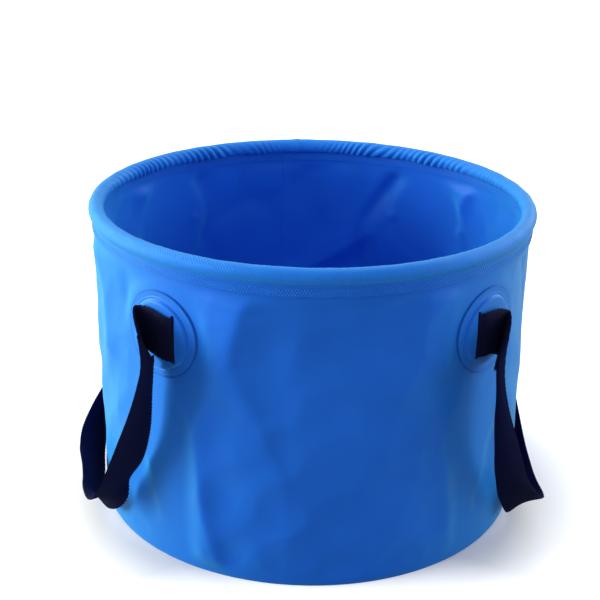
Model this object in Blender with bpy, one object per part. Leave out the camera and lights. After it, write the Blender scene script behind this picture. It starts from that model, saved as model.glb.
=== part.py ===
"""A round soft bucket that folds flat: a coated-fabric wall and floor, a hoop in a sleeve at the rim,
four welded patches and two webbing straps.

Metres, +Z up, origin at the centre of the foot. Angles go round the bucket from the front (-Y)
towards +X. The two straps hang at +X and -X.
"""
from math import acos, cos, exp, hypot, pi, radians, sin

import bmesh
import bpy
from mathutils import Vector

MM = 0.001

# Coated fabric, and the gap between pieces that are welded or held together
SHEET = 0.8 * MM
CLEARANCE = 0.3 * MM

# Wall
WALL_RADIUS = 150.0 * MM
FOOT_RADIUS = 148.6 * MM
FOOT_TAPER_HEIGHT = 60.0 * MM
SEAM_OVERLAP = 13.0 * MM
SEAM_EDGE = 0.4 * MM
WALL_ROWS = 11

# Hoop in the rim, and the sleeve round it
HOOP_HEIGHT = 213.0 * MM
HOOP_INSET = 2.0 * MM
HOOP_TUBE_RADIUS = 4.0 * MM
HOOP_BORE_RADIUS = 2.6 * MM
HEM_LENGTH = 7.0 * MM
HEM_GRIP = 5.0 * MM

# Joiner of the hoop's two ends
JOINER_LENGTH = 40.0 * MM
COLLAR_LENGTH = 4.0 * MM

# Floor
FLANGE_HEIGHT = 10.0 * MM
FLOOR_RINGS = 1

# Patches and the pocket each has for the strap's end
PATCH_RADIUS = 28.5 * MM
PATCH_DROP = 10.4 * MM
PATCH_ANGLE = radians(43.0)
POCKET_MARGIN = 0.5 * MM
POCKET_STEP = 1.5 * MM
SLIT_SETBACK = 11.2 * MM
SLIT_END_GAP = 1.0 * MM

# Webbing
WEBBING_WIDTH = 30.0 * MM
WEBBING_THICKNESS = 1.5 * MM
TAIL_LENGTH = 25.0 * MM

# Fineness of the shapes
SEGMENTS = 72
SLEEVE_STEPS = 11
TUBE_SIDES = 8
PATCH_SIDES = 28
PATCH_RINGS = 3
TURN_STEPS = 6
TAIL_STEPS = 4
STEPS_PER_STATION = 4

# Where each strap goes between its two slits: degrees round from the front, stand-off of the webbing's
# middle from the wall in mm, height above the middle of the patches in mm, then how the webbing's upper
# edge points: degrees away from straight up, and, once it is away, degrees from straight outwards
# towards the back
LEFT_ROUTE = (
    (42.3, 6.8, 2.8, 1.0, 0.0),
    (47.4, 9.6, 13.0, 45.0, -53.0),
    (42.9, 14.5, -1.0, 75.0, -41.0),
    (41.4, 17.5, -15.5, 73.0, -34.0),
    (41.6, 19.2, -26.0, 83.0, -24.0),
    (42.5, 20.5, -40.0, 94.0, -15.0),
    (45.4, 20.0, -68.0, 103.0, 4.0),
    (50.1, 18.3, -96.0, 116.0, 18.0),
    (57.0, 18.5, -119.0, 104.0, 5.0),
    (60.0, 17.5, -131.0, 85.0, -10.0),
    (62.5, 14.8, -134.0, 67.0, -24.0),
    (66.0, 13.2, -137.5, 55.0, -28.0),
    (71.0, 12.0, -139.5, 44.0, -34.0),
    (77.5, 11.0, -139.5, 37.0, -40.0),
    (86.0, 10.5, -135.5, 32.0, -42.0),
    (97.0, 6.6, -127.0, 33.0, -70.0),
    (107.0, 4.4, -115.0, 39.0, -95.0),
    (116.3, 5.6, -90.0, 46.0, -93.0),
    (125.0, 6.5, -59.0, 47.0, -97.0),
    (132.2, 6.8, -32.0, 40.0, -106.0),
    (137.0, 5.7, -14.5, 24.0, -114.0),
    (140.2, 5.0, -3.4, 4.0, -124.0),
)
RIGHT_ROUTE = (
    (41.5, 7.0, 2.2, 0.0, 0.0),
    (45.3, 11.0, 8.3, 39.0, -66.0),
    (39.8, 18.0, -6.0, 56.0, -40.0),
    (38.0, 21.5, -19.0, 62.0, -44.0),
    (38.2, 23.4, -29.0, 78.0, -42.0),
    (38.8, 25.4, -41.0, 89.0, -34.0),
    (39.8, 27.2, -60.0, 91.0, -22.0),
    (43.0, 26.7, -89.0, 89.0, -12.0),
    (48.6, 22.5, -112.0, 74.0, -8.0),
    (53.0, 20.0, -127.5, 62.0, -4.0),
    (57.0, 19.0, -137.5, 51.0, -8.0),
    (61.0, 15.5, -141.0, 41.0, -9.0),
    (67.0, 10.5, -140.5, 30.0, -20.0),
    (76.0, 6.6, -137.0, 19.0, -42.0),
    (88.5, 4.6, -125.0, 13.0, -62.0),
    (100.0, 4.7, -106.0, 26.0, -78.0),
    (111.2, 5.3, -84.0, 41.0, -88.0),
    (121.6, 6.7, -56.0, 46.0, -99.0),
    (130.0, 7.6, -31.0, 40.0, -110.0),
    (135.6, 6.5, -13.0, 25.0, -119.0),
    (139.6, 5.1, -3.8, 5.0, -128.0),
)

# Soft dents of the unfilled wall: degrees round at mid height, middle height in mm, slant of the dent's
# line in degrees from upright, half length and half width in mm, and depth in mm
DENTS = (
    (-21.0, 120.0, 6.0, 60.0, 16.0, 2.6),
    (-34.0, 48.0, -14.0, 42.0, 13.0, 2.2),
    (4.0, 55.0, 3.0, 55.0, 22.0, 1.8),
    (38.0, 62.0, -24.0, 46.0, 18.0, 2.4),
    (24.0, 135.0, 20.0, 45.0, 20.0, 1.6),
    (-118.0, 110.0, 12.0, 60.0, 22.0, 2.4),
    (-158.0, 90.0, -10.0, 60.0, 22.0, 2.4),
    (150.0, 100.0, 14.0, 60.0, 20.0, 2.6),
    (108.0, 80.0, -8.0, 55.0, 20.0, 2.0),
)

# Worked out from the sizes above
WALL_TOP = HOOP_HEIGHT - HOOP_TUBE_RADIUS - SHEET - 2 * CLEARANCE
HEM_FOOT = HOOP_HEIGHT - HOOP_TUBE_RADIUS - CLEARANCE - SHEET - HEM_LENGTH
HOOP_RING_RADIUS = WALL_RADIUS - HOOP_INSET
PATCH_HEIGHT = HEM_FOOT - PATCH_DROP - PATCH_RADIUS
SLEEVE_TUBE_RADIUS = HOOP_TUBE_RADIUS + CLEARANCE + SHEET / 2
WEBBING_SEAT = CLEARANCE + WEBBING_THICKNESS / 2
POCKET_RISE = CLEARANCE + WEBBING_THICKNESS
TURN_RADIUS = (SHEET + WEBBING_THICKNESS) / 2 + CLEARANCE
SLIT_WIDTH = TURN_RADIUS + WEBBING_THICKNESS / 2 + CLEARANCE
SLIT_HEIGHT = WEBBING_WIDTH + 2 * SLIT_END_GAP
POCKET_REACH = max(TAIL_LENGTH - SLIT_SETBACK, SLIT_SETBACK + TURN_RADIUS + WEBBING_THICKNESS / 2)
POCKET_RADIUS = hypot(POCKET_REACH, SLIT_HEIGHT / 2) + POCKET_MARGIN
SEAM_HALF_ANGLE = SEAM_OVERLAP / WALL_RADIUS / 2
SEAM_EDGE_ANGLE = SEAM_EDGE / WALL_RADIUS

COLOURS = {
    "coated_blue": ((0.008, 0.13, 0.60, 1.0), 0.38),
    "sleeve_blue": ((0.010, 0.16, 0.66, 1.0), 0.42),
    "hoop_plastic": ((0.75, 0.76, 0.76, 1.0), 0.50),
    "joiner_plastic": ((0.04, 0.04, 0.045, 1.0), 0.50),
    "navy_webbing": ((0.006, 0.007, 0.022, 1.0), 0.85),
}


def clear_scene():
    for old in list(bpy.data.objects):
        bpy.data.objects.remove(old, do_unlink=True)


def material(name):
    found = bpy.data.materials.get(name)
    if found:
        return found
    colour, roughness = COLOURS[name]
    made = bpy.data.materials.new(name)
    made.use_nodes = True
    shader = made.node_tree.nodes["Principled BSDF"]
    shader.inputs["Base Color"].default_value = colour
    shader.inputs["Roughness"].default_value = roughness
    shader.inputs["Metallic"].default_value = 0.0
    return made


def place(radius, angle, height):
    """A point round the bucket's axis."""
    return Vector((radius * sin(angle), -radius * cos(angle), height))


def outwards(angle):
    return Vector((sin(angle), -cos(angle), 0.0))


def backwards(angle):
    """The way round the wall, in which the angle grows."""
    return Vector((cos(angle), sin(angle), 0.0))


def add_object(name, mesh, material_name, sharp_angle=radians(40)):
    mesh.materials.append(material(material_name))
    mesh.shade_smooth()
    mesh.set_sharp_from_angle(angle=sharp_angle)
    made = bpy.data.objects.new(name, mesh)
    bpy.context.scene.collection.objects.link(made)
    return made


def mesh_from_bmesh(name, shape):
    """Turn every face outwards and store the shape; a thin shell may come out turned inwards at first."""
    bmesh.ops.recalc_face_normals(shape, faces=shape.faces)
    if shape.calc_volume(signed=True) < 0:
        bmesh.ops.reverse_faces(shape, faces=shape.faces)
    mesh = bpy.data.meshes.new(name)
    shape.to_mesh(mesh)
    shape.free()
    return mesh


def skin(name, loops, joined_round=False, capped=False):
    """One closed surface through loops of points that all have the same count."""
    shape = bmesh.new()
    rings = [[shape.verts.new(point) for point in loop] for loop in loops]
    following = rings[1:] + rings[:1] if joined_round else rings[1:]
    for ring, after in zip(rings, following):
        for i in range(len(ring)):
            j = (i + 1) % len(ring)
            shape.faces.new((ring[i], ring[j], after[j], after[i]))
    if capped:
        shape.faces.new(rings[0])
        shape.faces.new(rings[-1])
    return mesh_from_bmesh(name, shape)


def round_angles():
    """Even steps round the bucket, with two more at each edge of the overlap in the back seam."""
    even = [2 * pi * i / SEGMENTS - pi for i in range(SEGMENTS)]
    half_step = pi / SEGMENTS
    edges = []
    for edge in (SEAM_HALF_ANGLE, SEAM_HALF_ANGLE + SEAM_EDGE_ANGLE):
        edges += [-pi + edge, pi - edge]
    kept = [a for a in even if min(abs(a - e) for e in edges) > half_step / 2 or a == -pi]
    return sorted(kept + edges)


def in_seam(angle):
    """True in the overlap, where the wall is two sheets thick."""
    from_back = pi - abs(angle)
    return from_back < SEAM_HALF_ANGLE + SEAM_EDGE_ANGLE / 2


def inner_step(angle):
    """How far the second sheet of the seam pushes everything inside it towards the axis."""
    return SHEET if in_seam(angle) else 0.0


def taper(height):
    """The wall's outer radius, drawn in a little towards the welded foot."""
    if height >= FOOT_TAPER_HEIGHT:
        return WALL_RADIUS
    share = 1 - height / FOOT_TAPER_HEIGHT
    return WALL_RADIUS - (WALL_RADIUS - FOOT_RADIUS) * share * share


def smooth(low, high, value):
    share = min(max((value - low) / (high - low), 0.0), 1.0)
    return share * share * (3 - 2 * share)


def dent_depth(angle, height):
    """Depth of the soft dents at a place on the wall; none near the foot, the hems and the patches."""
    total = 0.0
    for around, middle, slant, half_length, half_width, depth in DENTS:
        along_wall = (angle - radians(around)) * WALL_RADIUS
        up = height - middle * MM
        across = along_wall * cos(radians(slant)) - up * sin(radians(slant))
        along = along_wall * sin(radians(slant)) + up * cos(radians(slant))
        fall = (across / (half_width * MM)) ** 2 + (along / (half_length * MM)) ** 4
        total += depth * MM * exp(-fall)
    near_foot = smooth(FLANGE_HEIGHT + 5 * CLEARANCE, FLANGE_HEIGHT + PATCH_RADIUS, height)
    near_hem = 1 - smooth(HEM_FOOT - PATCH_RADIUS / 2, HEM_FOOT - 5 * CLEARANCE, height)
    near_patch = 1.0
    for centre in (PATCH_ANGLE, pi - PATCH_ANGLE):
        distance = hypot((abs(angle) - centre) * WALL_RADIUS, height - PATCH_HEIGHT)
        near_patch *= smooth(PATCH_RADIUS + SHEET, PATCH_RADIUS * 1.6, distance)
    return total * near_foot * near_hem * near_patch


def wall_heights():
    """Rows of the wall, with one at the top of the floor's flange and one at the foot of the hems."""
    low = FLANGE_HEIGHT + CLEARANCE
    high = HEM_FOOT - CLEARANCE
    between = [low + (high - low) * i / (WALL_ROWS - 1) for i in range(WALL_ROWS)]
    return [0.0] + between + [WALL_TOP]


def build_wall():
    """A tube of sheet with an overlapped seam at the back."""
    loops = []
    for angle in round_angles():
        outer = [place(taper(z) - dent_depth(angle, z), angle, z) for z in wall_heights()]
        inside = SHEET + inner_step(angle)
        inner = [place(taper(z) - dent_depth(angle, z) - inside, angle, z) for z in wall_heights()]
        loops.append(outer + inner[::-1])
    add_object("wall", skin("wall", loops, joined_round=True), "coated_blue")


def build_floor():
    """A disc whose edge turns up as a flange inside the foot of the wall."""
    shape = bmesh.new()
    angles = round_angles()
    outside = [(FLANGE_HEIGHT, CLEARANCE), (SHEET, CLEARANCE), (0.0, CLEARANCE + SHEET / 2)]
    inside = [(SHEET * 2, CLEARANCE + SHEET), (FLANGE_HEIGHT, CLEARANCE + SHEET)]
    reach = FOOT_RADIUS - SHEET

    def ring(rows, angle):
        """Points of the flange, each by its height and its gap to the wall's inner face."""
        return [place(taper(z) - SHEET - inner_step(angle) - gap, angle, z) for z, gap in rows]

    columns = []
    for angle in angles:
        flat = [(reach - inner_step(angle)) * i / (FLOOR_RINGS + 1) for i in range(1, FLOOR_RINGS + 1)]
        under = [place(r, angle, 0.0) for r in flat]
        over = [place(r, angle, SHEET) for r in flat]
        corner = place(reach - inner_step(angle) - CLEARANCE - 2 * SHEET, angle, SHEET)
        points = under + ring(outside, angle)[::-1] + ring(inside, angle)[::-1] + [corner] + over[::-1]
        columns.append([shape.verts.new(p) for p in points])
    bottom = shape.verts.new((0.0, 0.0, 0.0))
    top = shape.verts.new((0.0, 0.0, SHEET))
    for column, after in zip(columns, columns[1:] + columns[:1]):
        for i in range(len(column) - 1):
            shape.faces.new((column[i], column[i + 1], after[i + 1], after[i]))
        shape.faces.new((bottom, column[0], after[0]))
        shape.faces.new((top, column[-1], after[-1]))
    add_object("floor_disc", mesh_from_bmesh("floor_disc", shape), "coated_blue")


def sleeve_path(angle):
    """Middle of the sleeve's sheet in section: up the outer hem, round the hoop, down the inner hem.

    Each point is a radius, a height and the direction that faces away from the hoop and the wall.
    """
    outer_hem = WALL_RADIUS + CLEARANCE + SHEET / 2
    inner_hem = WALL_RADIUS - SHEET - inner_step(angle) - CLEARANCE - SHEET / 2
    start = -acos((outer_hem - HOOP_RING_RADIUS) / SLEEVE_TUBE_RADIUS)
    end = 2 * pi - acos((inner_hem - HOOP_RING_RADIUS) / SLEEVE_TUBE_RADIUS)
    path = [(outer_hem, HEM_FOOT, 1.0, 0.0), (outer_hem, HEM_FOOT + HEM_GRIP, 1.0, 0.0)]
    for i in range(SLEEVE_STEPS + 1):
        turn = start + (end - start) * i / SLEEVE_STEPS
        height = HOOP_HEIGHT + SLEEVE_TUBE_RADIUS * sin(turn)
        path.append((HOOP_RING_RADIUS + SLEEVE_TUBE_RADIUS * cos(turn), height, cos(turn), sin(turn)))
    path += [(inner_hem, HEM_FOOT + HEM_GRIP, -1.0, 0.0), (inner_hem, HEM_FOOT, -1.0, 0.0)]
    return path


def build_sleeve():
    """The strip round the hoop, whose two hems take the wall's top edge between them."""
    loops = []
    for angle in round_angles():
        path = sleeve_path(angle)
        half = SHEET / 2
        away = [place(r + half * out, angle, z + half * up) for r, z, out, up in path]
        towards = [place(r - half * out, angle, z - half * up) for r, z, out, up in path]
        loops.append(away + towards[::-1])
    add_object("rim_sleeve", skin("rim_sleeve", loops, joined_round=True), "sleeve_blue")


def tube_ring(radius, angle):
    """A circle of points round the hoop's middle line."""
    points = []
    for i in range(TUBE_SIDES):
        turn = 2 * pi * i / TUBE_SIDES
        points.append(place(HOOP_RING_RADIUS + radius * cos(turn), angle, HOOP_HEIGHT + radius * sin(turn)))
    return points


def build_hoop():
    """A bent tube, open at the back where its two ends meet the joiner's collar."""
    end = pi - (COLLAR_LENGTH / 2 + CLEARANCE) / HOOP_RING_RADIUS
    angles = [-end] + [a for a in round_angles() if abs(a) < end - SEAM_EDGE_ANGLE] + [end]
    outer = [tube_ring(HOOP_TUBE_RADIUS, a) for a in angles]
    bore = [tube_ring(HOOP_BORE_RADIUS, a) for a in angles]
    loops = outer + bore[::-1]
    add_object("rim_hoop", skin("rim_hoop", loops, joined_round=True), "hoop_plastic")


def build_joiner():
    """A curved plug in the hoop's bore, with a collar between the hoop's ends."""
    reach = JOINER_LENGTH / 2 / HOOP_RING_RADIUS
    collar = COLLAR_LENGTH / 2 / HOOP_RING_RADIUS
    plug_radius = HOOP_BORE_RADIUS - CLEARANCE
    stops = [-reach, -reach / 2 - collar / 2, -collar, collar, reach / 2 + collar / 2, reach]
    loops = []
    for turn in stops:
        if turn == collar:
            loops.append(tube_ring(HOOP_TUBE_RADIUS, pi + turn))
        loops.append(tube_ring(plug_radius, pi + turn))
        if turn == -collar:
            loops.append(tube_ring(HOOP_TUBE_RADIUS, pi + turn))
    add_object("hoop_joiner", skin("hoop_joiner", loops, capped=True), "joiner_plastic")


def patch_rings():
    """Radius and rise of the patch's rings, from near its middle to its edge."""
    rings = [(POCKET_RADIUS * i / PATCH_RINGS, POCKET_RISE) for i in range(1, PATCH_RINGS + 1)]
    return rings + [(POCKET_RADIUS + POCKET_STEP, 0.0), (PATCH_RADIUS, 0.0)]


def flat_patch():
    """The patch laid flat, with its pocket raised: x along the wall, y up, z away from the wall."""
    shape = bmesh.new()
    rows = [(r, CLEARANCE + rise) for r, rise in patch_rings()]
    rows += [(r, CLEARANCE + SHEET + rise) for r, rise in patch_rings()[::-1]]
    rings = []
    for radius, height in rows:
        turns = [2 * pi * i / PATCH_SIDES for i in range(PATCH_SIDES)]
        rings.append([shape.verts.new((radius * cos(t), radius * sin(t), height)) for t in turns])
    for ring, after in zip(rings, rings[1:]):
        for i in range(PATCH_SIDES):
            j = (i + 1) % PATCH_SIDES
            shape.faces.new((ring[i], ring[j], after[j], after[i]))
    for ring, height in ((rings[0], rows[0][1]), (rings[-1], rows[-1][1])):
        middle = shape.verts.new((0.0, 0.0, height))
        for i in range(PATCH_SIDES):
            shape.faces.new((middle, ring[i], ring[(i + 1) % PATCH_SIDES]))
    return mesh_from_bmesh("flat_patch", shape)


def slit_cutter():
    shape = bmesh.new()
    bmesh.ops.create_cube(shape, size=1.0)
    depth = 4 * (POCKET_RISE + SHEET)
    for corner in shape.verts:
        corner.co.x = -SLIT_SETBACK - SLIT_WIDTH / 2 + corner.co.x * SLIT_WIDTH
        corner.co.y *= SLIT_HEIGHT
        corner.co.z *= depth
    return mesh_from_bmesh("slit_cutter", shape)


def cut_patch():
    """The flat patch with its slit cut through, as a mesh."""
    patch = bpy.data.objects.new("flat_patch", flat_patch())
    cutter = bpy.data.objects.new("slit_cutter", slit_cutter())
    for made in (patch, cutter):
        bpy.context.scene.collection.objects.link(made)
    cut = patch.modifiers.new("slit", "BOOLEAN")
    cut.operation = "DIFFERENCE"
    cut.solver = "EXACT"
    cut.object = cutter
    evaluated = patch.evaluated_get(bpy.context.evaluated_depsgraph_get())
    mesh = bpy.data.meshes.new_from_object(evaluated)
    bpy.data.objects.remove(patch, do_unlink=True)
    bpy.data.objects.remove(cutter, do_unlink=True)
    return mesh


def build_patch(name, flat, side, rear):
    """Wrap a copy of the flat patch on the wall; the slit is on the side away from the strap's loop."""
    shape = bmesh.new()
    shape.from_mesh(flat)
    for point in shape.verts:
        angle = PATCH_ANGLE + point.co.x / WALL_RADIUS
        if rear:
            angle = pi - angle
        point.co = place(WALL_RADIUS + point.co.z, side * angle, PATCH_HEIGHT + point.co.y)
    add_object(name, mesh_from_bmesh(name, shape), "coated_blue", radians(25))


def strap_end():
    """Middle points of a strap's end: flat in the pocket, then out of the slit and back over its edge.

    Each point is an angle, a stand-off from the wall, a height and the direction of the upper edge.
    """
    turn_middle = WEBBING_SEAT + TURN_RADIUS
    stations = []
    for i in range(TAIL_STEPS):
        along = -SLIT_SETBACK + TAIL_LENGTH * (1 - i / TAIL_STEPS)
        stations.append((along, WEBBING_SEAT))
    for i in range(TURN_STEPS + 1):
        turn = pi * i / TURN_STEPS
        along = -SLIT_SETBACK - TURN_RADIUS * sin(turn)
        stations.append((along, turn_middle - TURN_RADIUS * cos(turn)))
    return [(PATCH_ANGLE + along / WALL_RADIUS, out) for along, out in stations]


def edge_direction(angle, lean, turn):
    """Unit vector from the webbing's middle to its upper edge."""
    flat = outwards(angle) * cos(turn) + backwards(angle) * sin(turn)
    return Vector((0.0, 0.0, 1.0)) * cos(lean) + flat * sin(lean)


def smooth_run(values, steps):
    """A smooth curve through points of any size, by chordal Catmull-Rom pieces."""
    def reach(a, b):
        return max((a[0] - b[0]).length, SHEET) ** 0.5

    before = tuple(2 * a - b for a, b in zip(values[0], values[1]))
    beyond = tuple(2 * a - b for a, b in zip(values[-1], values[-2]))
    points = [before] + list(values) + [beyond]
    run = []
    for p0, p1, p2, p3 in zip(points, points[1:], points[2:], points[3:]):
        t1 = reach(p1, p0)
        t2 = t1 + reach(p2, p1)
        t3 = t2 + reach(p3, p2)
        for i in range(steps):
            t = t1 + (t2 - t1) * i / steps
            mixed = []
            for a, b, c, d in zip(p0, p1, p2, p3):
                ab = a * ((t1 - t) / t1) + b * (t / t1)
                bc = b * ((t2 - t) / (t2 - t1)) + c * ((t - t1) / (t2 - t1))
                cd = c * ((t3 - t) / (t3 - t2)) + d * ((t - t2) / (t3 - t2))
                abc = ab * ((t2 - t) / t2) + bc * (t / t2)
                bcd = bc * ((t3 - t) / (t3 - t1)) + cd * ((t - t1) / (t3 - t1))
                mixed.append(abc * ((t2 - t) / (t2 - t1)) + bcd * ((t - t1) / (t2 - t1)))
            run.append(tuple(mixed))
    run.append(values[-1])
    return run


def strap_stations(route):
    """Middle points and upper-edge directions of a right-hand strap from one end to the other."""
    upright = Vector((0.0, 0.0, 1.0))
    front = [(place(WALL_RADIUS + out, angle, PATCH_HEIGHT), upright) for angle, out in strap_end()]
    rear = [(place(WALL_RADIUS + out, pi - angle, PATCH_HEIGHT), upright) for angle, out in strap_end()]
    loop = []
    for around, out, height, lean, turn in route:
        angle = radians(around)
        middle = place(WALL_RADIUS + out * MM, angle, PATCH_HEIGHT + height * MM)
        loop.append((middle, edge_direction(angle, radians(lean), radians(turn))))
    curved = smooth_run([front[-1]] + loop + [rear[-1]], STEPS_PER_STATION)
    return front[:-1] + curved + rear[-2::-1]


def build_strap(name, route, side):
    """A flat band of webbing swept along its stations."""
    stations = strap_stations(route)
    middles = [middle for middle, upper in stations]
    loops = []
    for i, (middle, upper) in enumerate(stations):
        along = (middles[min(i + 1, len(middles) - 1)] - middles[max(i - 1, 0)]).normalized()
        edge = (upper - along * upper.dot(along)).normalized() * (WEBBING_WIDTH / 2)
        face = along.cross(edge).normalized() * (WEBBING_THICKNESS / 2)
        corners = (middle + edge + face, middle - edge + face, middle - edge - face, middle + edge - face)
        loops.append([Vector((side * p.x, p.y, p.z)) for p in corners])
    add_object(name, skin(name, loops, capped=True), "navy_webbing")


def build_bucket():
    clear_scene()
    build_wall()
    build_floor()
    build_sleeve()
    build_hoop()
    build_joiner()
    flat = cut_patch()
    for end, rear in (("front", False), ("rear", True)):
        for side_name, side in (("left", -1), ("right", 1)):
            build_patch(f"{end}_{side_name}_patch", flat, side, rear)
    bpy.data.meshes.remove(flat)
    build_strap("left_strap", LEFT_ROUTE, -1)
    build_strap("right_strap", RIGHT_ROUTE, 1)


build_bucket()
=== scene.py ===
"""Looks of a round soft bucket that folds flat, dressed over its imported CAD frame.

Metres, +Z up, origin at the centre of the foot. Angles go round the bucket from the front (-Y)
towards +X. The two straps hang at +X and -X, and the wall's seam is at the back.
"""
from math import acos, cos, hypot, pi, radians, sin

import bmesh
import bpy
import numpy as np
from mathutils import Matrix, Vector


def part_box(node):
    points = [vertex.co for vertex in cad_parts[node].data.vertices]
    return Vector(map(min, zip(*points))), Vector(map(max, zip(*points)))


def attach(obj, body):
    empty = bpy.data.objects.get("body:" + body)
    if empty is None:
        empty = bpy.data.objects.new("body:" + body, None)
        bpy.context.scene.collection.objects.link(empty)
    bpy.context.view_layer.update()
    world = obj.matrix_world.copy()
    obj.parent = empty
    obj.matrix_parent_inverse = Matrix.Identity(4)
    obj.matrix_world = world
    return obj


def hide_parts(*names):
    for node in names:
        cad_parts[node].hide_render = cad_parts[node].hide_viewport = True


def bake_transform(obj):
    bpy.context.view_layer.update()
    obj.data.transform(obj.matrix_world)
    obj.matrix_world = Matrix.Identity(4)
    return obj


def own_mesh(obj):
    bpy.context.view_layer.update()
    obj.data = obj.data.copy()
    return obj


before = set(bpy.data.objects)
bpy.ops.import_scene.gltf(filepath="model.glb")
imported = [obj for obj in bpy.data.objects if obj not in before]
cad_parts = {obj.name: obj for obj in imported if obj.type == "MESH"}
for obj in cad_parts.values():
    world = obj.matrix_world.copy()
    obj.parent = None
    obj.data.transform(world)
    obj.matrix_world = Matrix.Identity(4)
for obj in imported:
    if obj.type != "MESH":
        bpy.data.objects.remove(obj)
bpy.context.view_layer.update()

MM = 0.001

# Coated fabric, and the gap between pieces that are welded or held together
SHEET = 0.8 * MM
CLEARANCE = 0.3 * MM

# Sizes that the frame gives
WALL_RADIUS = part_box("wall")[1].x
WALL_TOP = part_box("wall")[1].z
HEM_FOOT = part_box("rim_sleeve")[0].z
FLANGE_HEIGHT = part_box("floor_disc")[1].z
HOOP_HEIGHT = (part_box("rim_hoop")[0].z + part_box("rim_hoop")[1].z) / 2
HOOP_TUBE_RADIUS = (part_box("rim_hoop")[1].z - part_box("rim_hoop")[0].z) / 2
HOOP_RING_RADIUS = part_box("rim_hoop")[1].x - HOOP_TUBE_RADIUS
SLEEVE_TUBE_RADIUS = HOOP_TUBE_RADIUS + CLEARANCE + SHEET / 2
PATCH_HEIGHT = (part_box("front_right_patch")[0].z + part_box("front_right_patch")[1].z) / 2
PATCH_RADIUS = (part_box("front_right_patch")[1].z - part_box("front_right_patch")[0].z) / 2

# Wall
FOOT_RADIUS = 148.6 * MM
FOOT_TAPER_HEIGHT = 60 * MM
FOOT_ROUNDING = 1.2 * MM
WALL_COLUMNS = 400
WALL_ROWS = 96
SEAM_ANGLE = radians(-177)
SEAM_WIDTH = 8 * MM
SEAM_RISE = 0.25 * MM
SEAM_GROOVE = 0.3 * MM
SEAM_INNER_STEP = 0.35 * MM

# Heights between which the wall's relief grows from the foot, and fades before the hem
RELIEF_GROWS = (2 * MM, FLANGE_HEIGHT * 1.5)
RELIEF_FADES = (HEM_FOOT - 10 * MM, HEM_FOOT - 1 * MM)
SEAM_FADES = (HEM_FOOT - 2 * MM, HEM_FOOT - 1 * MM)

# Floor: rings as shares of the flat part, and shares of its reach where waves end and the seam begins
FLOOR_COLUMNS = 240
FLOOR_RINGS = np.linspace(0.08, 1.0, 22)
FLOOR_CORNER = 3 * SHEET
FLOOR_CORNER_TURNS = np.linspace(0.2, pi / 2, 6)
FLANGE_SHARES = (0.35, 0.7, 1.0)
FLOOR_WAVE_RISE = 1.1 * MM
FLOOR_WAVES_END = (0.80, 0.93)
FLOOR_SEAM_BEGINS = (0.93, 0.97)

# Sleeve on the hoop: its turns round the hoop are 0 on the outside and a quarter turn at the top
HEM_GRIP = 5 * MM
HEM_SHARES = (0.0, 0.08, 0.5, 1.0)
HEM_WAVE_RISE = 0.35 * MM
HEM_WAVE_FADE = 3 * MM
SLEEVE_COLUMNS = 900
SLEEVE_STEPS = 30
SLEEVE_GRAIN_RISE = 0.10 * MM
TUBE_BEGINS = (radians(-20), radians(20))
TUBE_ENDS = (radians(225), radians(250))
INNER_HEM_TURN = radians(238)
SLEEVE_JOINT_ANGLE = radians(179.3)
SLEEVE_JOINT_STEP = 0.45 * MM
SLEEVE_JOINT_EDGE = 0.3 * MM
SLEEVE_JOINT_FADE = (2.7 * MM, 9 * MM)

# Gathers of the sleeve: how deep they are all round, in front, and behind at the left (-1) and the right,
# with degrees from the front and half widths in degrees
PLEAT_PITCH = 6.1 * MM
PLEAT_DEPTH = 3.9 * MM
PLEAT_SLANT = 0.9
PLEAT_WAVER = 0.6
PLEAT_ROUNDNESS = 0.6
PLEAT_BALANCE = 0.45
PLEAT_STRENGTH = 0.62
PLEAT_SPREAD = 0.3
PLEAT_LEAST = 0.2
PLEATS_ALL_ROUND = 0.10
PLEATS_IN_FRONT = 0.22
PLEATS_FRONT_WIDTH = 75.0
PLEATS_BEHIND = ((-1, 1.0, 141, 31), (1, 0.8, 146, 24))
PLEATS_BEGIN = (radians(88), radians(172))
PLEATS_END = (radians(236), radians(258))

# Patches and the pocket that each has for the strap's end
PATCH_ANGLE = radians(43)
POCKET_RADIUS = 21.3 * MM
POCKET_STEP = 1.9 * MM
POCKET_CROWN = 0.7 * MM
WELD_BEAD_RADIUS = 24 * MM
WELD_BEAD_RISE = 0.3 * MM
WELD_BEAD_WIDTH = 0.45 * MM
SLIT_SETBACK = 11.2 * MM
SLIT_END_GAP = 1 * MM
PATCH_EDGE = 0.25 * MM
PATCH_FIRST_RING = 1.5 * MM
PATCH_POCKET_RINGS = 13
PATCH_OUTER_RINGS = 22
PATCH_SIDES = 120

# How near the wall's relief comes to a patch, and the angles from a pocket's middle between which what
# stands out of the wall grows
RELIEF_NEAR_PATCH = (PATCH_RADIUS + SHEET, PATCH_RADIUS * 1.4)
RELIEF_NEAR_POCKET = (radians(5.5), radians(12.5))

# Webbing
WEBBING_WIDTH = 30 * MM
WEBBING_THICKNESS = 1.5 * MM
TAIL_LENGTH = 25 * MM
TAIL_HIDDEN_LAP = 2 * MM
TAIL_STEPS = 4
TURN_STEPS = 12
ROUTE_STEPS = 16
PICK_PITCH = 2.6 * MM
STEPS_PER_PICK = 4
EASING_STEPS = 25
PICK_RISE = 0.13 * MM
SELVEDGE_SCALLOP = 0.55 * MM
SCALLOP_POWER = 6
SELVEDGE_EDGES = (0.80, 0.88)
WEBBING_POINTS_ACROSS = 17
POINTS_CROWDING = 0.35
EDGE_POWER = 14
EDGE_THINNING = 0.75
PICK_THINNING = 0.35
WEBBING_SEAT = CLEARANCE + WEBBING_THICKNESS / 2
POCKET_RISE = CLEARANCE + WEBBING_THICKNESS
TURN_RADIUS = (SHEET + WEBBING_THICKNESS) / 2 + CLEARANCE
SLIT_WIDTH = TURN_RADIUS + WEBBING_THICKNESS / 2 + CLEARANCE
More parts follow.
